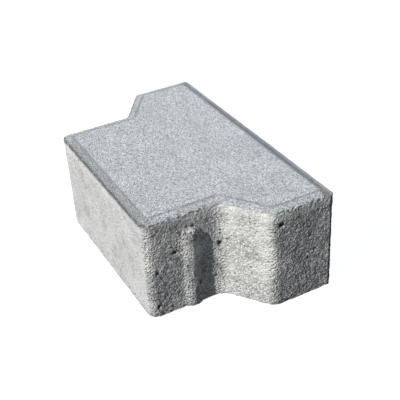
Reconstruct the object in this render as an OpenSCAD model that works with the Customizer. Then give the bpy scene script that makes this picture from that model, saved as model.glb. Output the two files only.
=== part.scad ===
// Half stone of an interlocking concrete paver, cast as one solid.
// Seen from above it is a T: a wide flange and half of a narrower waist, joined by two slanted steps.
// Millimetres, +Z up, origin at the middle of the underside. X runs along the flange and +Y is its side.

/* [Plan] */
// Length of the flange, which is the longest side of the stone
flange_len = 162; // [134:0.5:200]
// Length of the waist along its cut face
waist_len = 112; // [90:0.5:128]
// Straight depth of the flange's end faces
flange_depth = 36.5; // [28:0.5:60]
// Straight depth of the waist's flanks
waist_depth = 43; // [40:0.5:80]
// Depth that the slanted steps between waist and flange take up
step_depth = 17.5; // [14:0.5:40]

/* [Height] */
// Thickness of the stone, from the bed to the wearing face
stone_h = 60; // [40:1:120]

/* [Chamfer] */
// Width of the chamfer around the wearing face
chamfer_w = 5.8; // [2:0.1:8]
// Drop of that chamfer, from the wearing face to its outer arris
chamfer_drop = 1.2; // [0.5:0.1:6]

/* [Upright corners] */
// Radius of the two corners at the ends of the cut face
waist_corner_r = 5; // [1:0.5:8]
// Radius of the right hollow corner, between waist and slanted step
hollow_corner_r = 11; // [4:0.5:14]
// Radius of the left hollow corner, which is sharp
left_hollow_corner_r = 2.5; // [1:0.5:14]
// Radius of the right corner between slanted step and flange end
step_corner_r = 7; // [2:0.5:10]
// Radius of the left corner between slanted step and flange end, which is sharp
left_step_corner_r = 1.5; // [1:0.5:10]
// Radius of the two outer corners of the flange
flange_corner_r = 1.5; // [0.5:0.1:6]

/* [Spacer ribs] */
// Distance of each rib's middle from the cut face
rib_from_face = 26; // [14:0.5:28]
// Width of a rib where it meets the flank
rib_w = 10; // [6:0.5:12]
// How far a rib stands out from the flank
rib_out = 2.4; // [1:0.1:2.4]
// Gap between the tip of a rib and the chamfer's outer arris
rib_gap = 9; // [4:0.5:20]
// Height of the tapered stretch at a rib's top
rib_taper = 2.5; // [2:0.5:12]

/* [Hidden] */
$fn = 96;
concrete = "#b9bfc4";
// Straight stretches that make up each rounded corner of the plan
arc_steps = 10;
// How far the waist's and the flange's chamfered blocks stand out past the plan that trims them
waist_past = 1;
flange_past = 2;
// Overshoot of every other cutter
past = 3;

stone_depth = waist_depth + step_depth + flange_depth;
front_y = -stone_depth / 2;
back_y = stone_depth / 2;
flange_x = flange_len / 2;
waist_x = waist_len / 2;
hollow_y = front_y + waist_depth;
step_y = back_y - flange_depth;
step_slope = step_depth / (flange_x - waist_x);
chamfer_slope = chamfer_drop / chamfer_w;
arris_z = stone_h - chamfer_drop;

// Sharp corners of the plan with their radii, anticlockwise from the cut face's left end.
// Side i leaves corner i: 0 is the cut face, 1 and 7 the waist's flanks, 2 and 6 the slanted steps,
// 3 and 5 the flange's ends and 4 its long side.
corners = [
    [[-waist_x, front_y], waist_corner_r],
    [[waist_x, front_y], waist_corner_r],
    [[waist_x, hollow_y], hollow_corner_r],
    [[flange_x, step_y], step_corner_r],
    [[flange_x, back_y], flange_corner_r],
    [[-flange_x, back_y], flange_corner_r],
    [[-flange_x, step_y], left_step_corner_r],
    [[-waist_x, hollow_y], left_hollow_corner_r],
];
count = len(corners);
waist_sides = [7, 0, 1];
flange_sides = [2, 3, 4, 5, 6];

function point(i) = corners[(i + count) % count][0];
function radius(i) = corners[(i + count) % count][1];
function along(angle, length) = length * [cos(angle), sin(angle)];
// Direction in degrees of the side that leaves corner i
function heading(i) = let (d = point(i + 1) - point(i)) atan2(d.y, d.x);
// Change of direction at corner i, positive at an outer corner and negative at a hollow one
function turn(i) = let (t = heading(i) - heading(i - 1)) t > 180 ? t - 360 : t < -180 ? t + 360 : t;
// Direction from the middle of corner i's arc to where that arc begins
function arc_from(i) = heading(i - 1) + (turn(i) < 0 ? 90 : -90);
// Distance between corner i and either end of its arc
function arc_reach(i) = radius(i) * tan(abs(turn(i)) / 2);
function arc_centre(i) = point(i) - along(heading(i - 1), arc_reach(i)) - along(arc_from(i), radius(i));
function arc_points(i) = [
    for (step = [0 : arc_steps])
        arc_centre(i) + along(arc_from(i) + turn(i) * step / arc_steps, radius(i))
];

// Plan of the stone, with its rounded corners.
module plan() {
    polygon([for (i = [0 : count - 1]) each arc_points(i)]);
}

// Cutter over the chamfer of side i. It runs on past both corners, so that neighbours meet in a mitre.
module chamfer_cutter(i) {
    length = norm(point(i + 1) - point(i));
    translate([point(i).x, point(i).y, stone_h])
        rotate([90, 0, heading(i) + 90])
            translate([0, 0, -length])
                linear_extrude(3 * length)
                    polygon([
                        [-past, -(chamfer_w + past) * chamfer_slope], [chamfer_w, 0],
                        [chamfer_w, past], [-past, past],
                    ]);
}

// Waist block under its three chamfers, which reaches on into the flange.
module waist_block() {
    difference() {
        translate([-waist_x - waist_past, front_y - waist_past, -past])
            cube([waist_len + 2 * waist_past, waist_depth + step_depth + waist_past, stone_h + past]);
        for (i = waist_sides) chamfer_cutter(i);
    }
}

// Flange block under its five chamfers. Its slanted sides run on into the waist, so that the chamfers of
// flank and step also meet in a mitre at the hollow corners.
module flange_block() {
    inner_x = waist_x - chamfer_w - waist_past;
    outer_x = flange_x + flange_past;
    line_y = hollow_y - flange_past * sqrt(1 + step_slope * step_slope);
    inner_y = line_y + (inner_x - waist_x) * step_slope;
    outer_y = line_y + (outer_x - waist_x) * step_slope;
    difference() {
        translate([0, 0, -past])
            linear_extrude(stone_h + past)
                polygon([
                    [inner_x, inner_y], [outer_x, outer_y], [outer_x, back_y + flange_past],
                    [-outer_x, back_y + flange_past], [-outer_x, outer_y], [-inner_x, inner_y],
                ]);
        for (i = flange_sides) chamfer_cutter(i);
    }
}

// Body of the stone: the plan raised past full height, and closed on top by the two chamfered blocks.
module chamfered_body() {
    intersection() {
        linear_extrude(stone_h + past) plan();
        union() {
            waist_block();
            flange_block();
        }
    }
}

// Rounded spacer rib on the right flank. It stands on the bed, and its top tapers into the flank: the
// cone runs on behind the flank's face, to half the depth of the rib's axis.
module spacer_rib() {
    rib_r = (rib_w * rib_w / 4 + rib_out * rib_out) / (2 * rib_out);
    axis_in = rib_r - rib_out;
    cone_end_r = axis_in / 2;
    cone_h = rib_taper * (rib_r - cone_end_r) / rib_out;
    taper_z = arris_z - rib_gap - rib_taper;
    translate([waist_x - axis_in, front_y + rib_from_face, 0]) {
        cylinder(h = taper_z, r = rib_r);
        translate([0, 0, taper_z]) cylinder(h = cone_h, r1 = rib_r, r2 = cone_end_r);
    }
}

// The whole stone: chamfered body with one spacer rib on each flank of the waist.
module paving_stone() {
    color(concrete) {
        chamfered_body();
        spacer_rib();
        mirror([1, 0, 0]) spacer_rib();
    }
}

paving_stone();
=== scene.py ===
"""Looks of the concrete paving stone: the half stone of a double-T interlocking paver."""

import logging
import math
from dataclasses import dataclass, replace
from enum import Enum
from typing import Any

import bmesh
import bpy
from mathutils import Matrix, Vector

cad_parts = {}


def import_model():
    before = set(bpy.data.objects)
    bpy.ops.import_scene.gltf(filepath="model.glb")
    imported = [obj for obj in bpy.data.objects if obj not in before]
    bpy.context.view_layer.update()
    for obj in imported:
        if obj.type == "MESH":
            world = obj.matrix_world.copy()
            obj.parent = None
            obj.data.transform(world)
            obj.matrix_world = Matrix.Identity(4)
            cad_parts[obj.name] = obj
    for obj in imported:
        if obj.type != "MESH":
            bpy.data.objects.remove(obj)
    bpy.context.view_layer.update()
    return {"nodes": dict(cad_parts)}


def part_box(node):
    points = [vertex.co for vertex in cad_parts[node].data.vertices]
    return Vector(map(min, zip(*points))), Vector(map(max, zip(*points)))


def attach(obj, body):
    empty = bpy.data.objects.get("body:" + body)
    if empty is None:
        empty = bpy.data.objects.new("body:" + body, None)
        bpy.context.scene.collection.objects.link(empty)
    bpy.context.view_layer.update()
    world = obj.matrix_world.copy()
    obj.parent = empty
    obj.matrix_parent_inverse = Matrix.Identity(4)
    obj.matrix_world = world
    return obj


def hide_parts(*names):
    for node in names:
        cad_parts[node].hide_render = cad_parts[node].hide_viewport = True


MM = 0.001
NODE = "paving_stone"
BODY = "root"
# Settings that many nodes share
SMOOTH = {"interpolation_type": "SMOOTHSTEP"}
COLOURS = {"data_type": "RGBA"}
NUMBERS = {"data_type": "FLOAT"}
log = logging.getLogger("paving_stone")


class Socket(Enum):
    """Kinds of input that the relief tree has."""

    FLOAT = "NodeSocketFloat"
    VECTOR = "NodeSocketVector"
    MATERIAL = "NodeSocketMaterial"
    GEOMETRY = "NodeSocketGeometry"


def linear(hex_code: str) -> tuple[float, float, float, float]:
    """Turns an sRGB hex colour into linear RGBA.

    Args:
        hex_code: Colour such as "#b9bdc2".

    Returns:
        Linear red, green, blue and an alpha of 1.
    """
    parts = [int(hex_code.lstrip("#")[i:i + 2], 16) / 255 for i in (0, 2, 4)]
    red, green, blue = [c / 12.92 if c <= 0.04045 else ((c + 0.055) / 1.055) ** 2.4 for c in parts]
    return red, green, blue, 1.0


def add(tree: bpy.types.NodeTree, kind: str, settings: dict[str, Any] | None = None,
        inputs: dict[int | str, Any] | None = None) -> bpy.types.Node:
    """Adds one node with its settings and its links.

    Args:
        tree: Tree that gets the node.
        kind: Blender's name for the node type.
        settings: Node properties by name.
        inputs: By socket name or number: a value, a hex colour, a socket, or a node whose first live
            output is linked.

    Returns:
        The new node.
    """
    node = tree.nodes.new(kind)
    for name, value in (settings or {}).items():
        setattr(node, name, value)
    for key, value in (inputs or {}).items():
        live = [s for s in node.inputs if s.enabled]
        sock = node.inputs[key] if isinstance(key, int) else next(s for s in live if s.name == key)
        if isinstance(value, bpy.types.Node):
            value = next(s for s in value.outputs if s.enabled)
        if isinstance(value, bpy.types.NodeSocket):
            tree.links.new(value, sock)
        elif isinstance(value, str) and value.startswith("#"):
            sock.default_value = linear(value)
        else:
            sock.default_value = value
    return node


def chain(tree: bpy.types.NodeTree, operation: str, *terms: Any) -> Any:
    """Joins several values by one kind of arithmetic, from the first to the last.

    Args:
        tree: Tree that gets the nodes.
        operation: Blender's name for the arithmetic, such as "MULTIPLY".
        *terms: Numbers, sockets or nodes.

    Returns:
        The socket that holds the result.
    """
    total = terms[0]
    for term in terms[1:]:
        total = add(tree, "ShaderNodeMath", {"operation": operation}, {0: total, 1: term}).outputs[0]
    return total


def between(low: Any, high: Any, start: float = 0.0, end: float = 1.0) -> dict[str, Any]:
    """Limits of a map range.

    Args:
        low: Value at which the result is start.
        high: Value at which the result is end.
        start: Result at the low value.
        end: Result at the high value.

    Returns:
        The node's inputs by name.
    """
    return {"From Min": low, "From Max": high, "To Min": start, "To Max": end}


@dataclass(frozen=True)
class Plan:
    """Places on the stone that its relief and its finish both follow, in millimetres."""

    half_length: float
    half_depth: float
    height: float
    chamfer_wide: float = 5.8
    chamfer_drop: float = 1.2
    waist_end: float = -5.5
    flange_start: float = 12.0

    @classmethod
    def of_box(cls, high: Vector) -> "Plan":
        """Takes the outer sizes from the highest corner of the frame's box.

        Args:
            high: That corner, in metres, where the origin is at the middle of the underside.

        Returns:
            The plan, with sizes to a micrometre.
        """
        length, depth, height = [round(size / MM, 3) for size in high]
        return cls(half_length=length, half_depth=depth, height=height)


@dataclass(frozen=True)
class Fade:
    """Straight change of a value between two places along one axis, in millimetres from some edge."""

    low_mm: float
    high_mm: float
    start: float = 0.0
    end: float = 1.0

    def over(self, tree: bpy.types.NodeTree, place: bpy.types.NodeSocket,
             edge_mm: float = 0.0) -> bpy.types.NodeSocket:
        """Lays the fade along a coordinate.

        Args:
            tree: Tree that gets the node.
            place: The coordinate, in metres.
            edge_mm: Where the edge lies that the two places are measured from.

        Returns:
            The faded value's socket.
        """
        low, high = (edge_mm + self.low_mm) * MM, (edge_mm + self.high_mm) * MM
        limits = between(low, high, self.start, self.end)
        return add(tree, "ShaderNodeMapRange", inputs={"Value": place} | limits).outputs[0]


@dataclass(frozen=True)
class Mottle:
    """Cloudy pattern: its size in millimetres, the noise that becomes 0 and 1, and its octaves."""

    size_mm: float
    low: float
    high: float
    detail: float = 2.0

    def over(self, tree: bpy.types.NodeTree, where: bpy.types.NodeSocket) -> bpy.types.NodeSocket:
        """Lays the pattern over the stone.

        Args:
            tree: Tree that gets the nodes.
            where: Coordinates in metres.

        Returns:
            The pattern's socket, from 0 to 1.
        """
        noise = add(tree, "ShaderNodeTexNoise", inputs={
            "Vector": where, "Scale": 1 / (self.size_mm * MM), "Detail": self.detail})
        return add(tree, "ShaderNodeMapRange", SMOOTH,
                   {"Value": noise.outputs[0]} | between(self.low, self.high)).outputs[0]


@dataclass(frozen=True)
class ConcreteFinish:
    """Grey concrete, vibro-pressed semi-dry in a steel mould, in two layers.

    The fine face mix on top gives a close, sandy, matt light grey. The coarser core below it shows its
    grit as a granular wall with open pores, and lime has bloomed on it in pale yellowish patches.
    """

    plan: Plan
    name: str = "vibro_pressed_concrete"
    face_hex: str = "#dcdfe2"
    face_dark_hex: str = "#7f8388"
    chamfer_hex: str = "#c6c9cc"
    chamfer_dark_hex: str = "#73777b"
    stain_hex: str = "#a39d92"
    core_hex: str = "#e2e3e1"
    core_cloud_hex: str = "#d8d9d8"
    core_dark_hex: str = "#9a9b9c"
    # Painted shade in the gaps between the grains of grit
    gap_shade_hex: str = "#5c5d5f"
    lime_hex: str = "#f1f0eb"
    # Dark grains of grit, and the painted shade in the pinholes
    grit_and_pinhole_shade_hex: str = "#77787a"
    # Painted shade on the chamfers, in their crease and down one corner; also the colour of the worn
    # edges
    shade_and_wear_hex: str = "#4a4e52"
    # Painted shade in the pits, the pores and the chips
    pore_shade_hex: str = "#3c3d3f"
    roughness: float = 0.92
    specular: float = 0.25
    ior: float = 1.5

    # Patterns, by their sizes on the stone. Sand of 0.2 to 0.5 mm is too fine to show, so it is
    # drawn as 0.65 mm
    sand: Mottle = Mottle(0.65, 0.36, 0.64, 3.0)
    sand_relief: Mottle = Mottle(0.65, 0.25, 0.75, 3.0)
    cloud: Mottle = Mottle(13.0, 0.35, 0.68)
    lime: Mottle = Mottle(17.0, 0.46, 0.64, 3.0)
    step_lime: Mottle = Mottle(8.0, 0.15, 0.50, 3.0)
    stain: Mottle = Mottle(9.0, 0.50, 0.66, 4.0)
    stain_grains: Mottle = Mottle(1.25, 0.30, 0.60, 3.0)
    crease: Mottle = Mottle(3.5, 0.10, 0.56, 3.0)
    wear: Mottle = Mottle(2.4, 0.20, 0.50)
    lumps: Mottle = Mottle(1.0, 0.3, 0.7, 4.0)
    grit_mm: float = 1.25
    speck_mm: float = 2.6

    # Grit: where a grain ends and the gap to the next gets its full painted shade, which grains are
    # dark, and how far
    gap_from: float = 0.22
    gap_to: float = 0.78
    dark_from: float = 0.72
    dark_to: float = 0.92
    # Pinholes, drawn only as painted shade: the share of cells with none, and the widest one and its
    # soft rim, in cell widths
    speck_none: float = 0.55
    speck_wide: float = 0.34
    speck_rim: float = 0.08

    # Shares by which one colour covers the one below it
    cloud_share: float = 0.15
    ledge_share: float = 0.55
    lime_share: float = 0.90
    dark_share: float = 0.50
    # Painted shade between the grains: more on the flange's end walls, less where lime covers them
    gap_shade_share: float = 0.55
    outer_gap_shade_share: float = 0.60
    limed_gap_share: float = 0.3
    stain_share: float = 0.62
    # Painted shade in the pinholes
    speck_shade_share: float = 0.95
    sand_share: float = 0.34
    wear_share: float = 0.95
    # Painted shade in the pits, the pores and the chips
    hollow_share: float = 0.9
    # Painted shade in the chamfers' crease
    crease_shade_share: float = 0.46

    # Fades across the stone: measured from the waist's end, from the flange's start and its end
    step_front: Fade = Fade(-4.5, 1.5)
    step_back: Fade = Fade(1.0, -2.0)
    outer_start: Fade = Fade(-1.0, 2.0)
    outer_end: Fade = Fade(-3.0, -1.5)
    # Where the painted shade down the flange's right-hand corner begins, from the flange's end
    corner_end: Fade = Fade(-2.0, -1.0)
    # From the wearing face, down the chamfer
    ledge: Fade = Fade(-0.28, -0.10, 1.0, 0.0)
    # Painted shade in the crease at the chamfer's inner line
    crease_low: Fade = Fade(-0.42, -0.24)
    crease_high: Fade = Fade(-0.12, -0.03, 1.0, 0.0)
    # From the middle, over to the left-hand side
    left_side: Fade = Fade(-50.0, -40.0)
    # From the inner and the outer line of the chamfers along the flange's long side and the cut face,
    # where the chamfers get painted shade
    back_inner: Fade = Fade(-0.7, 0.1)
    back_outer: Fade = Fade(-2.8, -1.8, 0.62, 0.05)
    front_inner: Fade = Fade(-0.1, 0.7, 0.26, 0.0)
    # From the flange's long side, and from the cut face: the painted shade down the corner, and the
    # lime
    corner_back: Fade = Fade(-2.6, -1.5)
    back_lime: Fade = Fade(-2.0, -1.0, 1.0, 0.45)
    front_lime: Fade = Fade(2.0, 1.0, 1.0, 0.35)

    # Parts of the chamfers' ledge colour and painted shade that are left on the left-hand side
    left_chamfer_share: float = 0.15
    left_back_shade_share: float = 0.9

    # Bump: depths in millimetres, and shares of it that stones and lumps have
    face_bump_mm: float = 0.09
    core_bump_mm: float = 0.84
    stone_share: float = 0.75
    low_stone: float = 0.35
    lump_share: float = 0.55
    step_calm: float = 0.5
    outer_sharp: float = 1.12

    def material(self) -> bpy.types.Material:
        """Builds the concrete's node tree.

        Returns:
            The material, which reads Object coordinates and the relief's own attributes.
        """
        mat = bpy.data.materials.new(self.name)
        mat.use_nodes = True
        tree = mat.node_tree
        tree.nodes.clear()
        where = add(tree, "ShaderNodeTexCoord").outputs["Object"]
        marks = {name: add(tree, "ShaderNodeAttribute", {"attribute_name": name}).outputs["Fac"]
                 for name in ("face_mix", "wall", "hollow", "rough", "edge", "ragged")}
        place = add(tree, "ShaderNodeSeparateXYZ", inputs={0: where}).outputs
        marks |= self._zones(tree, place) | self._grit(tree, where)
        shader = add(tree, "ShaderNodeBsdfPrincipled", inputs={
            "Base Color": self._colour(tree, where, place, marks),
            "Normal": self._bump(tree, where, marks),
            "Roughness": self.roughness, "Specular IOR Level": self.specular, "IOR": self.ior})
        add(tree, "ShaderNodeOutputMaterial", inputs={"Surface": shader})
        return mat

    def _zones(self, tree: bpy.types.NodeTree, place: Any) -> dict[str, bpy.types.NodeSocket]:
        """Marks the slanted steps, and the end walls of the flange.

        Args:
            tree: Tree that gets the nodes.
            place: The X, Y and Z coordinates' sockets, by name.

        Returns:
            The two marks by name, each from 0 to 1.
        """
        waist, flange, end = self.plan.waist_end, self.plan.flange_start, self.plan.half_length
        depth = place["Y"]
        step = chain(tree, "MULTIPLY", self.step_front.over(tree, depth, waist),
                     self.step_back.over(tree, depth, flange))
        outer = chain(tree, "MULTIPLY", self.outer_start.over(tree, depth, flange),
                      self.outer_end.over(tree, place["X"], end))
        return {"step": step, "outer": outer}

    def _grit(self, tree: bpy.types.NodeTree, where: bpy.types.NodeSocket) -> dict[str, Any]:
        """Packs grains of grit next to each other.

        Args:
            tree: Tree that gets the nodes.
            where: Coordinates in metres.

        Returns:
            By name: the gap round each grain, from 0 to 1, and each grain's own chance.
        """
        grain = add(tree, "ShaderNodeTexVoronoi", inputs={
            "Vector": where, "Scale": 1 / (self.grit_mm * MM)}).outputs
        gap = add(tree, "ShaderNodeMapRange", SMOOTH,
                  {"Value": grain["Distance"]} | between(self.gap_from, self.gap_to)).outputs[0]
        chance = add(tree, "ShaderNodeSeparateColor", inputs={0: grain["Color"]}).outputs[0]
        return {"gap": gap, "chance": chance}

    def _ledge(self, tree: bpy.types.NodeTree, place: Any, share: float, left_chamfer_share: float) -> Any:
        """Share on everything that lies lower than the wearing face.

        Args:
            tree: Tree that gets the nodes.
            place: The coordinates' sockets, by name.
            share: The share on the chamfers.
            left_chamfer_share: Part of it that is left on the left-hand chamfers.

        Returns:
            The share's socket.
        """
        lower = replace(self.ledge, start=share).over(tree, place["Z"], self.plan.height)
        return chain(tree, "MULTIPLY", lower,
                     replace(self.left_side, start=left_chamfer_share).over(tree, place["X"]))

    def _chamfer_shade(self, tree: bpy.types.NodeTree, where: bpy.types.NodeSocket, place: Any) -> Any:
        """Painted shade on the chamfers: most on the flange's long side, away from the key light, some
        on the cut face's, a line in the crease inside.

        Args:
            tree: Tree that gets the nodes.
            where: Coordinates in metres.
            place: The coordinates' sockets, by name.

        Returns:
            The share of painted shade.
        """
        top, outer = self.plan.height, self.plan.half_depth
        inner = outer - self.plan.chamfer_wide
        depth, height = place["Y"], place["Z"]
        crease = chain(tree, "MULTIPLY", self.crease_high.over(tree, height, top),
                       self.crease_low.over(tree, height, top),
                       self.crease.over(tree, where), self.crease_shade_share)
        back = chain(tree, "MULTIPLY", self.back_inner.over(tree, depth, inner),
                     self.back_outer.over(tree, depth, outer),
                     self._ledge(tree, place, 1.0, self.left_back_shade_share))
        front = chain(tree, "MULTIPLY", self.front_inner.over(tree, depth, -inner),
                      self._ledge(tree, place, 1.0, self.left_chamfer_share))
        return chain(tree, "MAXIMUM", chain(tree, "ADD", back, front), crease)

    def _corner_shade(self, tree: bpy.types.NodeTree, place: Any) -> Any:
        """Share of the painted shade line down the flange's right-hand outer corner.

        Args:
            tree: Tree that gets the nodes.
            place: The coordinates' sockets, by name.

        Returns:
            The share's socket.
        """
        end, back = self.plan.half_length, self.plan.half_depth
        return chain(tree, "MULTIPLY", self.corner_end.over(tree, place["X"], end),
                     self.corner_back.over(tree, place["Y"], back))

    def _pinhole_shade(self, tree: bpy.types.NodeTree, where: bpy.types.NodeSocket) -> Any:
        """Share of the painted shade in the pinholes that trapped air left in the walls, the widest
        under 2 mm.

        Args:
            tree: Tree that gets the nodes.
            where: Coordinates in metres.

        Returns:
            The share's socket.
        """
        cells = add(tree, "ShaderNodeTexVoronoi", inputs={
            "Vector": where, "Scale": 1 / (self.speck_mm * MM)}).outputs
        chance = add(tree, "ShaderNodeSeparateColor", inputs={0: cells["Color"]}).outputs[0]
        wide = add(tree, "ShaderNodeMapRange", inputs={
            "Value": chance} | between(self.speck_none, 1.0, 0.0, self.speck_wide))
        inside = chain(tree, "SUBTRACT", wide, cells["Distance"])
        return add(tree, "ShaderNodeMapRange", SMOOTH, {
            "Value": inside} | between(0.0, self.speck_rim, 0.0, self.speck_shade_share)).outputs[0]

    def _face_colour(self, tree: bpy.types.NodeTree, where: bpy.types.NodeSocket, place: Any,
                     sand: bpy.types.NodeSocket, cloud: bpy.types.NodeSocket) -> bpy.types.Node:
        """Colour of the face mix, sandy and a little cloudy, and of its chamfers, with painted shade on
        them.

        Args:
            tree: Tree that gets the nodes.
            where: Coordinates in metres.
            place: The coordinates' sockets, by name.
            sand: Pattern of the sand.
            cloud: Pattern of the clouds.

        Returns:
            The node whose output is the colour.
        """
        face = add(tree, "ShaderNodeMix", COLOURS, {
            "Factor": sand, "A": self.face_dark_hex, "B": self.face_hex})
        face = add(tree, "ShaderNodeMix", COLOURS, {
            "Factor": chain(tree, "MULTIPLY", cloud, self.cloud_share), "A": face,
            "B": self.face_dark_hex})
        ledge = add(tree, "ShaderNodeMix", COLOURS, {
            "Factor": sand, "A": self.chamfer_dark_hex, "B": self.chamfer_hex})
        face = add(tree, "ShaderNodeMix", COLOURS, {
            "Factor": self._ledge(tree, place, self.ledge_share, self.left_chamfer_share), "A": face,
            "B": ledge})
        # Painted shade on the chamfers and in their crease
        return add(tree, "ShaderNodeMix", COLOURS, {
            "Factor": self._chamfer_shade(tree, where, place), "A": face, "B": self.shade_and_wear_hex})

    def _core_colour(self, tree: bpy.types.NodeTree, where: bpy.types.NodeSocket, place: Any,
                     marks: dict[str, Any]) -> bpy.types.Node:
        """Colour of the core: clouds, then lime, dark grains, painted shade in the gaps, stains,
        painted shade in the pinholes and down one corner over them.

        Args:
            tree: Tree that gets the nodes.
            where: Coordinates in metres.
            place: The coordinates' sockets, by name.
            marks: The relief's attributes and the finish's own marks and patterns, by name.

        Returns:
            The node whose output is the colour.
        """
        core = add(tree, "ShaderNodeMix", COLOURS, {
            "Factor": marks["cloud"], "A": self.core_hex, "B": self.core_cloud_hex})
        # Lime has bloomed most on the slanted steps
        back = self.plan.half_depth
        lime = chain(tree, "MULTIPLY", self.lime.over(tree, where),
                     self.front_lime.over(tree, place["Y"], -back),
                     self.back_lime.over(tree, place["Y"], back))
        bare = add(tree, "ShaderNodeMapRange", inputs={
            "Value": lime} | between(0.0, 1.0, 1.0, self.limed_gap_share))
        steps = chain(tree, "MULTIPLY", marks["step"], self.step_lime.over(tree, where))
        lime = chain(tree, "MULTIPLY", chain(tree, "MAXIMUM", lime, steps), self.lime_share)
        dark = add(tree, "ShaderNodeMapRange", inputs={
            "Value": marks["chance"]} | between(self.dark_from, self.dark_to, 0.0, self.dark_share))
        dark = chain(tree, "MULTIPLY", dark, bare, marks["rough"])
        # Painted shade between the grains, more on the flange's end walls, which the key light grazes
        gap_shade_level = add(tree, "ShaderNodeMapRange", inputs={
            "Value": marks["outer"]} | between(0.0, 1.0, self.gap_shade_share, self.outer_gap_shade_share))
        gap = chain(tree, "MULTIPLY", marks["gap"], bare, marks["rough"], gap_shade_level)
        stain = chain(tree, "MULTIPLY", self.stain.over(tree, where),
                      self.stain_grains.over(tree, where), self.stain_share)
        # Painted shade: the gaps between the grains, the pinholes and the line down the corner; lime,
        # dark grains, stains and sand are the core's own colours
        layers = ((lime, self.lime_hex), (dark, self.grit_and_pinhole_shade_hex), (gap, self.gap_shade_hex),
                  (stain, self.stain_hex), (self._pinhole_shade(tree, where), self.grit_and_pinhole_shade_hex),
                  (chain(tree, "MULTIPLY", marks["sand"], self.sand_share), self.core_dark_hex),
                  (self._corner_shade(tree, place), self.shade_and_wear_hex))
        for share, hex_code in layers:
            core = add(tree, "ShaderNodeMix", COLOURS, {"Factor": share, "A": core, "B": hex_code})
        return core

    def _colour(self, tree: bpy.types.NodeTree, where: bpy.types.NodeSocket, place: Any,
                marks: dict[str, Any]) -> bpy.types.Node:
        """Colour of the whole stone: the face mix over the core, worn edges and painted shade in the
        hollows.

        Args:
            tree: Tree that gets the nodes.
            where: Coordinates in metres.
            place: The coordinates' sockets, by name.
            marks: The relief's attributes and the finish's own marks, by name.

        Returns:
            The node whose output is the colour.
        """
        sand, cloud = self.sand.over(tree, where), self.cloud.over(tree, where)
        face = self._face_colour(tree, where, place, sand, cloud)
        core = self._core_colour(tree, where, place, marks | {"sand": sand, "cloud": cloud})
        # Only the face mix that looks up has its own colour; on the sides it is lime-pale like the core
        upward = chain(tree, "SUBTRACT", 1.0, marks["wall"])
        both = add(tree, "ShaderNodeMix", COLOURS, {
            "Factor": chain(tree, "MULTIPLY", upward, marks["face_mix"]), "A": core, "B": face})
        clean = chain(tree, "SUBTRACT", 1.0, marks["ragged"])
        worn = chain(tree, "MULTIPLY", marks["edge"], marks["face_mix"], clean,
                     self.wear.over(tree, where), self.wear_share)
        both = add(tree, "ShaderNodeMix", COLOURS, {"Factor": worn, "A": both, "B": self.shade_and_wear_hex})
        # Painted shade in the pits, the pores and the chips
        hollow = chain(tree, "MULTIPLY", marks["hollow"], self.hollow_share)
        return add(tree, "ShaderNodeMix", COLOURS, {"Factor": hollow, "A": both, "B": self.pore_shade_hex})

    def _bump(self, tree: bpy.types.NodeTree, where: bpy.types.NodeSocket,
              marks: dict[str, Any]) -> bpy.types.Node:
        """Sand all over and grit on the core, which are finer than the mesh.

        Args:
            tree: Tree that gets the nodes.
            where: Coordinates in metres.
            marks: The relief's attributes and the finish's own marks, by name.

        Returns:
            The node whose output is the normal.
        """
        close = chain(tree, "SUBTRACT", 1.0, marks["gap"])
        tall = add(tree, "ShaderNodeMapRange", inputs={
            "Value": marks["chance"]} | between(0.0, 1.0, self.low_stone, 1.0))
        stones = chain(tree, "MULTIPLY", close, tall, self.stone_share)
        lumps = chain(tree, "MULTIPLY", self.lumps.over(tree, where), self.lump_share)
        calm = add(tree, "ShaderNodeMapRange", inputs={
            "Value": marks["step"]} | between(0.0, 1.0, 1.0, self.step_calm))
        sharp = add(tree, "ShaderNodeMapRange", inputs={
            "Value": marks["outer"]} | between(0.0, 1.0, 1.0, self.outer_sharp))
        coarse = chain(tree, "MULTIPLY", chain(tree, "ADD", stones, lumps), marks["rough"], calm,
                       sharp, self.core_bump_mm * MM)
        fine = chain(tree, "MULTIPLY", self.sand_relief.over(tree, where), self.face_bump_mm * MM)
        return add(tree, "ShaderNodeBump", inputs={
            "Strength": 1.0, "Distance": 1.0, "Height": chain(tree, "ADD", coarse, fine)})


@dataclass(frozen=True)
class Pore:
    """One larger open pore in a wall: its place and its width and height, in millimetres."""

    place_mm: tuple[float, float, float]
    wide_mm: float
    tall_mm: float


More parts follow.
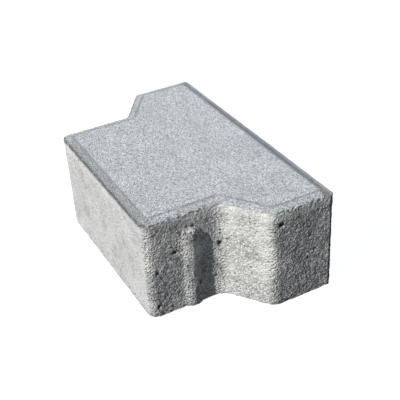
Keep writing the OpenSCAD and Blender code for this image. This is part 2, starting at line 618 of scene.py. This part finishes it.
@dataclass
class PavingStone:
    """The one cast stone, with its relief, over the solid that the frame holds."""

    plan: Plan
    voxel_mm: float = 0.80
    weld_mm: float = 0.001
    band_mm: float = 5.5
    band_ragged_mm: float = 5.0
    ragged_every_mm: float = 7.0
    grain_mm: float = 1.65
    grain_deep_mm: float = 0.46
    pit_every_mm: float = 6.5
    pit_deep_mm: float = 1.2
    wave_mm: float = 24.0
    wave_deep_mm: float = 0.12
    face_grain_mm: float = 1.8
    face_deep_mm: float = 0.07
    chip_mm: float = 2.4
    chip_deep_mm: float = 1.1
    foot_mm: float = 8.0
    foot_deep_mm: float = 0.35
    cut_share: float = 0.42
    band_smooth: float = 0.40
    seed: float = 7.0
    pores: tuple[Pore, ...] = (
        Pore((81.0, 17.0, 50.5), 4.2, 2.8), Pore((57.2, -6.1, 34.0), 3.0, 4.8),
        Pore((56.0, -42.5, 28.0), 2.4, 2.6), Pore((56.5, -31.5, 37.0), 3.2, 2.2),
        Pore((56.0, -43.0, 6.5), 2.4, 2.6),
        Pore((81.0, 33.0, 24.0), 1.8, 2.0), Pore((-22.0, -48.5, 40.0), 1.8, 2.2),
        Pore((14.0, -48.5, 22.0), 2.2, 1.6), Pore((-38.0, -48.5, 16.0), 1.6, 1.8),
    )
    pore_deep_mm: float = 1.6

    def build(self, solid: bpy.types.Object) -> bpy.types.Object:
        """Makes the detailed stone that stands for the plain solid.

        Args:
            solid: The frame's node, which is only read.

        Returns:
            The finished piece, as a plain mesh.
        """
        low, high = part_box(NODE)
        base = self._baked(self._even_mesh(solid), "stone_even")
        tree = Relief(self).build()
        modifier = base.modifiers.new("relief", "NODES")
        modifier.node_group = tree
        values = {"Box Low": low, "Box High": high, "Seed": self.seed,
                  "Concrete": ConcreteFinish(self.plan).material(),
                  "Cut Face Share": self.cut_share, "Band Smoothness": self.band_smooth}
        values |= {name: size * MM for name, size in self.sizes().items()}
        for item in tree.interface.items_tree:
            if item.in_out == "INPUT" and item.name in values:
                modifier[item.identifier] = values[item.name]
        piece = self._baked(base, "concrete_paving_stone")
        log.info("%s: %d faces", piece.name, len(piece.data.polygons))
        return piece

    def sizes(self) -> dict[str, float]:
        """The relief's sizes in millimetres, by the name of their input."""
        return {"Arris Height": self.plan.height - self.plan.chamfer_drop, "Band Depth": self.band_mm,
                "Band Raggedness": self.band_ragged_mm, "Ragged Spacing": self.ragged_every_mm,
                "Grain Size": self.grain_mm, "Grain Depth": self.grain_deep_mm,
                "Pit Spacing": self.pit_every_mm, "Pit Depth": self.pit_deep_mm,
                "Wave Size": self.wave_mm, "Wave Depth": self.wave_deep_mm,
                "Face Grain Size": self.face_grain_mm, "Face Depth": self.face_deep_mm,
                "Chip Size": self.chip_mm, "Chip Depth": self.chip_deep_mm,
                "Pore Depth": self.pore_deep_mm,
                "Foot Chip Size": self.foot_mm, "Foot Chip Depth": self.foot_deep_mm}

    def _even_mesh(self, solid: bpy.types.Object) -> bpy.types.Object:
        """Copies the solid's mesh, merges its loose triangles and remeshes it evenly.

        Args:
            solid: The frame's node.

        Returns:
            An object with a live voxel remesh.
        """
        mesh = solid.data.copy()
        shape = bmesh.new()
        shape.from_mesh(mesh)
        bmesh.ops.remove_doubles(shape, verts=shape.verts, dist=self.weld_mm * MM)
        shape.to_mesh(mesh)
        shape.free()
        mesh.materials.clear()
        copy = bpy.data.objects.new("stone_copy", mesh)
        bpy.context.scene.collection.objects.link(copy)
        remesh = copy.modifiers.new("even", "REMESH")
        remesh.mode = "VOXEL"
        remesh.voxel_size = self.voxel_mm * MM
        remesh.use_smooth_shade = True
        return copy

    def _baked(self, obj: bpy.types.Object, name: str) -> bpy.types.Object:
        """Turns an object and its modifiers into a new plain mesh object, and removes the old one.

        Args:
            obj: Object with live modifiers.
            name: Name of the new object.

        Returns:
            The new object, at the origin.
        """
        graph = bpy.context.evaluated_depsgraph_get()
        mesh = bpy.data.meshes.new_from_object(obj.evaluated_get(graph))
        mesh.name = name
        bpy.data.objects.remove(obj)
        plain = bpy.data.objects.new(name, mesh)
        bpy.context.scene.collection.objects.link(plain)
        return plain


class Pattern(Enum):
    """Random patterns of the relief, each with its own shift of the seed."""

    RAGGED = 1.0
    GRAIN = 2.0
    BEND = 3.0
    PITS = 4.0
    CHIPS = 5.0
    FOOT = 6.0
    WAVE = 8.0
    FACE = 9.0


@dataclass
class Relief:
    """Geometry Nodes relief of the stone: every depth goes into it, so that it never grows."""

    stone: PavingStone
    # Limits of how steep a face is, how far it looks to the cut face's side, and how noise rises
    wall_slope: tuple[float, float] = (0.35, 0.75)
    cut_facing: tuple[float, float] = (0.80, 0.98)
    noise_rise: tuple[float, float] = (0.3, 0.7)
    grain_rise: tuple[float, float] = (0.15, 0.75)
    chip_rise: tuple[float, float] = (0.46, 0.66)
    foot_rise: tuple[float, float] = (0.44, 0.66)
    # Edges are blurred over so many faces, and then widened
    edge_blur: int = 2
    edge_gain: float = 1.7
    band_soft_mm: float = 0.7
    # Grit: how far grains melt together, and the shares of their round tops and of finer noise
    grain_melt: float = 0.5
    round_share: float = 0.75
    uneven_share: float = 0.25
    # Pores: their bend, the share of cells with none, and the widest one and its rim, in cell widths
    bend_every_mm: float = 3.0
    bend_mm: float = 2.2
    pit_none: float = 0.66
    pit_wide: float = 0.33
    pit_rim: float = 0.12
    bowl: tuple[float, float] = (1.1, 0.3)
    # Where pits end before the slanted steps and begin behind them, from the waist's end and the
    # flange's start
    pits_front_mm: tuple[float, float] = (-0.5, 2.5)
    pits_back_mm: tuple[float, float] = (-1.0, 1.0)
    # Chips: the height that parts the arris from the foot, and the ragged side, from the middle,
    # from the cut face and from the flange's long side
    upper_mm: tuple[float, float] = (30.0, 35.0)
    ragged_right_mm: tuple[float, float] = (44.0, 50.0)
    ragged_front_mm: tuple[float, float] = (2.0, 3.5)
    ragged_back_mm: tuple[float, float] = (-1.0, -2.0)
    clean_share: float = 0.12
    # A chip of this depth gets as much painted shade as a pore
    shade_chip_mm: float = 2.5
    crisp_rad: float = 0.55

    def __post_init__(self) -> None:
        """Starts the tree, with its named inputs and the sockets that all its parts read."""
        self.tree = bpy.data.node_groups.new("concrete_relief", "GeometryNodeTree")
        face = self.tree.interface
        face.new_socket("Geometry", in_out="INPUT", socket_type=Socket.GEOMETRY.value)
        face.new_socket("Geometry", in_out="OUTPUT", socket_type=Socket.GEOMETRY.value)
        for name in [*self.stone.sizes(), "Cut Face Share", "Band Smoothness", "Seed"]:
            face.new_socket(name, in_out="INPUT", socket_type=Socket.FLOAT.value)
        for name in ("Box Low", "Box High"):
            face.new_socket(name, in_out="INPUT", socket_type=Socket.VECTOR.value)
        face.new_socket("Concrete", in_out="INPUT", socket_type=Socket.MATERIAL.value)
        self.given = add(self.tree, "NodeGroupInput").outputs
        self.where = add(self.tree, "GeometryNodeInputPosition").outputs[0]
        self.normal = add(self.tree, "GeometryNodeInputNormal").outputs[0]
        self.place = add(self.tree, "ShaderNodeSeparateXYZ", inputs={0: self.where}).outputs
        self.facing = add(self.tree, "ShaderNodeSeparateXYZ", inputs={0: self.normal}).outputs

    def _join(self, operation: str, *terms: Any) -> Any:
        """Joins values of this tree by one kind of arithmetic, as chain does."""
        return chain(self.tree, operation, *terms)

    def _smooth(self, value: Any, limits: dict[str, Any]) -> bpy.types.NodeSocket:
        """Eases a value between limits, as between gives them, and returns its socket."""
        return add(self.tree, "ShaderNodeMapRange", SMOOTH, {"Value": value} | limits).outputs[0]

    def _across(self, axis: str, limits_mm: tuple[float, float], edge_mm: float = 0.0,
                start: float = 0.0, end: float = 1.0) -> bpy.types.NodeSocket:
        """Eases from start to end between two places along one axis.

        Args:
            axis: "X", "Y" or "Z".
            limits_mm: The two places, from the edge.
            edge_mm: Where that edge lies.
            start: Value at the first place.
            end: Value at the second place.

        Returns:
            The value's socket.
        """
        low, high = [(edge_mm + limit) * MM for limit in limits_mm]
        return self._smooth(self.place[axis], between(low, high, start, end))

    def _noise(self, size: Any, pattern: Pattern, detail: float = 2.0) -> Any:
        """Noise of one feature size, apart from the other patterns by its shift of the seed.

        Args:
            size: Feature size in metres, or its socket.
            pattern: The pattern that it is for.
            detail: Octaves of finer noise.

        Returns:
            The noise node's outputs: its value first and its colour second.
        """
        return add(self.tree, "ShaderNodeTexNoise", {"noise_dimensions": "4D"}, {
            "Vector": self.where, "W": self._join("ADD", self.given["Seed"], pattern.value),
            "Scale": self._join("DIVIDE", 1.0, size), "Detail": detail}).outputs

    def _zones(self) -> dict[str, Any]:
        """Finds the walls, the edges, the face mix and the rough core between them.

        Returns:
            The zones' sockets by name, each from 0 to 1.
        """
        given = self.given
        steep = add(self.tree, "ShaderNodeMath", {"operation": "ABSOLUTE"}, {
            0: self.facing["Z"]}).outputs[0]
        wall = self._smooth(steep, between(*self.wall_slope, 1.0, 0.0))
        edge = add(self.tree, "GeometryNodeBlurAttribute", NUMBERS, {
            "Value": self._join("MULTIPLY", steep, self._join("SUBTRACT", 1.0, steep), 4.0),
            "Iterations": self.edge_blur}).outputs[0]
        edge = self._join("MINIMUM", self._join("MULTIPLY", edge, self.edge_gain), 1.0)
        # Grit stands out less on the cut face
        cut = self._smooth(self._join("MULTIPLY", self.facing["Y"], -1.0), between(*self.cut_facing))
        calm = self._join("MULTIPLY", cut, self._join("SUBTRACT", 1.0, given["Cut Face Share"]))
        share = self._join("SUBTRACT", 1.0, calm)
        # The face mix ends in a ragged line below the chamfer
        uneven = self._join("SUBTRACT", self._noise(given["Ragged Spacing"], Pattern.RAGGED)[0], 0.5)
        ragged = self._join("MULTIPLY", uneven, given["Band Raggedness"])
        line = self._join("SUBTRACT", given["Arris Height"], given["Band Depth"])
        soft = self.band_soft_mm * MM
        mixed = self._smooth(self._join("ADD", self.place["Z"], ragged),
                             between(self._join("SUBTRACT", line, soft), self._join("ADD", line, soft)))
        plain = self._join("SUBTRACT", 1.0, self._join("MULTIPLY", mixed, given["Band Smoothness"]))
        return {"face_mix": mixed, "wall": wall, "edge": edge,
                "rough": self._join("MULTIPLY", wall, plain, share)}

    def _grit(self, rough: Any) -> Any:
        """Lets the grit stand out of the core as close-packed bumps.

        Args:
            rough: Where the core shows, from 0 to 1.

        Returns:
            The depth between the grains, in metres.
        """
        given = self.given
        grains = add(self.tree, "ShaderNodeTexVoronoi", {
            "feature": "SMOOTH_F1", "voronoi_dimensions": "4D"}, {
            "Vector": self.where, "W": given["Seed"], "Smoothness": self.grain_melt,
            "Scale": self._join("DIVIDE", 1.0, given["Grain Size"])}).outputs["Distance"]
        round_grains = self._smooth(grains, between(*self.grain_rise))
        uneven = self._smooth(self._noise(given["Grain Size"], Pattern.GRAIN, 3.0)[0],
                              between(*self.noise_rise))
        both = self._join("ADD", self._join("MULTIPLY", round_grains, self.round_share),
                          self._join("MULTIPLY", uneven, self.uneven_share))
        return self._join("MULTIPLY", both, given["Grain Depth"], rough)

    def _bent(self) -> bpy.types.NodeSocket:
        """Bends the coordinates a little, so that pores don't come out round.

        Returns:
            The bent coordinates, which lie half the bend too far on average.
        """
        return add(self.tree, "ShaderNodeVectorMath", {"operation": "MULTIPLY_ADD"}, {
            0: self._noise(self.bend_every_mm * MM, Pattern.BEND)[1],
            1: [self.bend_mm * MM] * 3, 2: self.where}).outputs[0]

    def _pits(self, bent: bpy.types.NodeSocket) -> Any:
        """Opens pores at random places and of random width.

        Args:
            bent: Bent coordinates.

        Returns:
            The pits, from 0 to 1.
        """
        cells = add(self.tree, "ShaderNodeTexVoronoi", {"voronoi_dimensions": "4D"}, {
            "Vector": bent, "W": self._join("ADD", self.given["Seed"], Pattern.PITS.value),
            "Scale": self._join("DIVIDE", 1.0, self.given["Pit Spacing"])}).outputs
        chance = add(self.tree, "ShaderNodeSeparateXYZ", inputs={0: cells["Color"]}).outputs[0]
        wide = add(self.tree, "ShaderNodeMapRange", inputs={
            "Value": chance} | between(self.pit_none, 1.0, 0.0, self.pit_wide))
        pit = self._smooth(self._join("SUBTRACT", wide, cells["Distance"]), between(0.0, self.pit_rim))
        # The slanted steps, in the middle of the depth, are closer and have no pores
        plan = self.stone.plan
        front = self._across("Y", self.pits_front_mm, plan.waist_end, 1.0, 0.0)
        back = self._across("Y", self.pits_back_mm, plan.flange_start)
        return self._join("MULTIPLY", pit, self._join("ADD", front, back))

    def _large_pores(self, bent: bpy.types.NodeSocket) -> Any:
        """Opens the larger pores, each at its own place.

        Args:
            bent: Bent coordinates.

        Returns:
            The pores, from 0 to 1.
        """
        bowls = []
        for pore in self.stone.pores:
            middle = [c * MM + self.bend_mm * MM / 2 for c in pore.place_mm]
            away = add(self.tree, "ShaderNodeVectorMath", {"operation": "SUBTRACT"}, {
                0: bent, 1: middle})
            half = [pore.wide_mm * MM / 2, pore.wide_mm * MM / 2, pore.tall_mm * MM / 2]
            scaled = add(self.tree, "ShaderNodeVectorMath", {"operation": "DIVIDE"}, {0: away, 1: half})
            far = add(self.tree, "ShaderNodeVectorMath", {"operation": "LENGTH"}, {
                0: scaled}).outputs["Value"]
            bowls.append(self._smooth(far, between(*self.bowl)))
        return self._join("MAXIMUM", *bowls)

    def _chips(self, edge: Any) -> tuple[Any, Any, Any]:
        """Chips the arris above and the foot below.

        Args:
            edge: Where the edges are, from 0 to 1.

        Returns:
            The depths of both in metres, and where the arris is ragged.
        """
        given, back = self.given, self.stone.plan.half_depth
        upper = self._across("Z", self.upper_mm)
        # The arris is ragged down the right-hand side and clean along the others
        side = self._join("MULTIPLY", self._across("X", self.ragged_right_mm),
                          self._across("Y", self.ragged_front_mm, -back),
                          self._across("Y", self.ragged_back_mm, back))
        spots = self._smooth(self._noise(given["Chip Size"], Pattern.CHIPS)[0],
                             between(*self.chip_rise))
        chip = self._join("MULTIPLY", edge, upper, self._join("MAXIMUM", side, self.clean_share),
                          spots, given["Chip Depth"])
        spots = self._smooth(self._noise(given["Foot Chip Size"], Pattern.FOOT, 3.0)[0],
                             between(*self.foot_rise))
        foot = self._join("MULTIPLY", edge, self._join("SUBTRACT", 1.0, upper), spots,
                          given["Foot Chip Depth"])
        return chip, foot, side

    def build(self) -> bpy.types.NodeTree:
        """Joins all the depths, stores the marks that the finish reads, and moves the surface in.

        Returns:
            The Geometry Nodes tree, with named inputs for its sizes.
        """
        given, marks, bent = self.given, self._zones(), self._bent()
        rough = marks["rough"]
        pits, large = self._pits(bent), self._large_pores(bent)
        chip, foot, marks["ragged"] = self._chips(marks["edge"])
        wave = self._smooth(self._noise(given["Wave Size"], Pattern.WAVE)[0],
                            between(*self.noise_rise))
        fine = self._smooth(self._noise(given["Face Grain Size"], Pattern.FACE)[0],
                            between(*self.noise_rise))
        depth = self._join("ADD", self._grit(rough),
                           self._join("MULTIPLY", pits, given["Pit Depth"], rough),
                           self._join("MULTIPLY", large, given["Pore Depth"]), chip, foot,
                           self._join("MULTIPLY", wave, marks["wall"], given["Wave Depth"]),
                           self._join("MULTIPLY", fine, self._join("SUBTRACT", 1.0, rough),
                                      given["Face Depth"]))
        # Pits, pores and chips get painted shade in the finish, chips more the deeper they are
        broken = self._join("DIVIDE", self._join("ADD", chip, foot), self.shade_chip_mm * MM)
        marks["hollow"] = self._join(
            "MINIMUM", self._join("ADD", self._join("MULTIPLY", pits, rough), large, broken), 1.0)
        body = given["Geometry"]
        for name, value in marks.items():
            body = add(self.tree, "GeometryNodeStoreNamedAttribute", NUMBERS, {
                "Geometry": body, "Name": name, "Value": value}).outputs[0]
        into = add(self.tree, "ShaderNodeVectorMath", {"operation": "SCALE"}, {
            0: self.normal, "Scale": self._join("MULTIPLY", depth, -1.0)})
        moved = add(self.tree, "GeometryNodeSetPosition", inputs={"Geometry": body, "Offset": into})
        self._finish_mesh(moved)
        return self.tree

    def _finish_mesh(self, moved: bpy.types.Node) -> None:
        """Keeps the mesh inside the box, sets its shading and its material, and ends the tree.

        Args:
            moved: The node whose output is the mesh with its relief.
        """
        kept = add(self.tree, "ShaderNodeVectorMath", {"operation": "MAXIMUM"}, {
            0: self.where, 1: self.given["Box Low"]})
        kept = add(self.tree, "ShaderNodeVectorMath", {"operation": "MINIMUM"}, {
            0: kept, 1: self.given["Box High"]})
        body = add(self.tree, "GeometryNodeSetPosition", inputs={"Geometry": moved, "Position": kept})
        angle = add(self.tree, "GeometryNodeInputMeshEdgeAngle").outputs["Unsigned Angle"]
        flat = add(self.tree, "ShaderNodeMath", {"operation": "LESS_THAN"}, {
            0: angle, 1: self.crisp_rad})
        body = add(self.tree, "GeometryNodeSetShadeSmooth", {"domain": "EDGE"}, {
            "Geometry": body, "Shade Smooth": flat})
        body = add(self.tree, "GeometryNodeRealizeInstances", inputs={"Geometry": body})
        body = add(self.tree, "GeometryNodeSetMaterial", inputs={
            "Geometry": body, "Material": self.given["Concrete"]})
        add(self.tree, "NodeGroupOutput", inputs={"Geometry": body})


@dataclass
class Studio:
    """Pale floor, low key light, two softboxes, pale blue surroundings and the camera."""

    floor_m: float = 12.0
    floor_hex: str = "#9c9c9c"
    floor_glow: float = 0.86
    sun_azimuth: float = 10.5
    sun_elevation: float = 37.0
    sun_strength: float = 4.3
    sun_angle: float = 0.6
    sky_hex: str = "#cfe0f5"
    sky_strength: float = 0.135
    overhead_watts: float = 4.6
    back_at: tuple[float, float, float] = (-0.95, 1.15, 0.35)
    back_watts: float = 19.0
    camera_at: tuple[float, float, float] = (0.3645, -0.1693, 0.2891)
    camera_azimuth: float = 63.51
    camera_elevation: float = 33.16
    camera_roll: float = 3.67
    lens_mm: float = 74.36
    sensor_mm: float = 36.0
    near_m: float = 0.01
    key_colour: tuple[float, float, float] = (1.0, 0.985, 0.955)
    fill_colour: tuple[float, float, float] = (0.86, 0.93, 1.0)
    overhead_at: tuple[float, float, float] = (0.0, 0.0, 1.6)
    overhead_m: float = 1.6
    back_m: float = 0.9

    def build(self) -> None:
        """Makes the whole stage."""
        self._floor()
        self._lights()
        self._camera()
        bpy.context.scene.view_settings.view_transform = "Standard"

    def _floor(self) -> None:
        """Lays the plain floor, which takes shadows but throws no light back on the stone."""
        half = self.floor_m / 2
        mesh = bpy.data.meshes.new("floor")
        mesh.from_pydata([(-half, -half, 0), (half, -half, 0), (half, half, 0), (-half, half, 0)],
                         [], [(0, 1, 2, 3)])
        floor = bpy.data.objects.new("floor", mesh)
        bpy.context.scene.collection.objects.link(floor)
        mat = bpy.data.materials.new("matt_white_paper")
        mat.use_nodes = True
        shader = mat.node_tree.nodes["Principled BSDF"]
        shader.inputs["Base Color"].default_value = linear(self.floor_hex)
        shader.inputs["Roughness"].default_value = 1.0
        shader.inputs["Emission Color"].default_value = (1, 1, 1, 1)
        shader.inputs["Emission Strength"].default_value = self.floor_glow
        mesh.materials.append(mat)
        floor.visible_diffuse = False
        floor.visible_glossy = False

    def _lights(self) -> None:
        """Adds the low key light, the softboxes overhead and behind, and the pale blue surroundings."""
        azimuth, elevation = math.radians(self.sun_azimuth), math.radians(self.sun_elevation)
        to_sun = Vector((math.sin(azimuth) * math.cos(elevation),
                         -math.cos(azimuth) * math.cos(elevation), math.sin(elevation)))
        key = bpy.data.lights.new("key", "SUN")
        key.energy, key.angle = self.sun_strength, math.radians(self.sun_angle)
        key.color = self.key_colour
        lamp = bpy.data.objects.new("key", key)
        lamp.rotation_mode = "QUATERNION"
        lamp.rotation_quaternion = to_sun.to_track_quat("Z", "Y")
        bpy.context.scene.collection.objects.link(lamp)
        self._softbox("overhead", self.overhead_at, self.overhead_m, self.overhead_watts)
        self._softbox("back_fill", self.back_at, self.back_m, self.back_watts)
        world = bpy.data.worlds.new("surroundings")
        world.use_nodes = True
        sky = world.node_tree.nodes["Background"]
        sky.inputs["Color"].default_value = linear(self.sky_hex)
        sky.inputs["Strength"].default_value = self.sky_strength
        bpy.context.scene.world = world

    def _softbox(self, name: str, place: tuple[float, float, float], size: float, watts: float) -> None:
        """Hangs one square softbox that faces the stone.

        Args:
            name: Name of the light.
            place: Where it hangs, in metres.
            size: Length of its side in metres.
            watts: Its power.
        """
        soft = bpy.data.lights.new(name, "AREA")
        soft.shape, soft.size, soft.energy = "SQUARE", size, watts
        soft.color = self.fill_colour
        box = bpy.data.objects.new(name, soft)
        box.rotation_mode = "QUATERNION"
        box.location, box.rotation_quaternion = place, Vector(place).to_track_quat("Z", "Y")
        bpy.context.scene.collection.objects.link(box)

    def _camera(self) -> None:
        """Sets up the camera, with a small roll about its own axis."""
        azimuth, elevation = math.radians(self.camera_azimuth), math.radians(self.camera_elevation)
        ahead = Vector((-math.sin(azimuth) * math.cos(elevation),
                        math.cos(azimuth) * math.cos(elevation), -math.sin(elevation)))
        level = ahead.cross(Vector((0, 0, 1))).normalized()
        upward = level.cross(ahead)
        roll = math.radians(self.camera_roll)
        right = level * math.cos(roll) - upward * math.sin(roll)
        up = right.cross(ahead)
        turn = Matrix((right, up, -ahead)).transposed()
        data = bpy.data.cameras.new("camera")
        data.lens, data.sensor_width, data.clip_start = self.lens_mm, self.sensor_mm, self.near_m
        camera = bpy.data.objects.new("camera", data)
        camera.matrix_world = Matrix.Translation(self.camera_at) @ turn.to_4x4()
        bpy.context.scene.collection.objects.link(camera)
        bpy.context.scene.camera = camera


def main() -> None:
    """Builds the stone and the studio around the frame."""
    logging.basicConfig(level=logging.INFO)
    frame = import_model()
    plan = Plan.of_box(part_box(NODE)[1])
    piece = PavingStone(plan).build(frame["nodes"][NODE])
    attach(piece, BODY)
    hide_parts(NODE)
    Studio().build()


if __name__ == "__main__":
    main()
